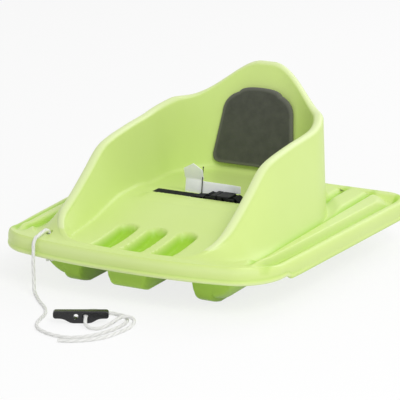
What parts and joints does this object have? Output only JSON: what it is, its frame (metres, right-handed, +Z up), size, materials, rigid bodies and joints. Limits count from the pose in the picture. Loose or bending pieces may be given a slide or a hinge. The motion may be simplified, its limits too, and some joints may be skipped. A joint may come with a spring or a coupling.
{
  "type": "baby pull sled",
  "caption": "Lime green moulded pull sled for a toddler, with a high back, foam back pad, lap belt with buckle, blank folded card, and a tow rope with a black handle.",
  "frame": {"origin": "on the ground under the middle of the sled, the rope and its handle left out", "axes": "+Z up, +Y to the rear of the sled, +X to the left hand of a child sitting in it"},
  "size_m": [0.578, 0.7909, 0.31],
  "materials": {
    "shell_plastic": "satin",
    "foam": "matte",
    "webbing": "matte",
    "black_plastic": "semi-gloss",
    "card": "matte",
    "rope": "matte"
  },
  "bodies": {
    "root": {"shell": "shell_plastic", "back_pad": "foam", "belt_strap_right": "webbing", "belt_strap_left": "webbing", "buckle_socket": "black_plastic", "buckle_plug": "black_plastic", "belt_stop_bar_right": "black_plastic", "belt_stop_bar_left": "black_plastic", "blank_card": "card", "blank_card_band": "card", "card_pin": "black_plastic", "tow_rope": "rope", "rope_stop_knot": "rope", "tow_handle": "black_plastic"}
  },
  "joints": []
}
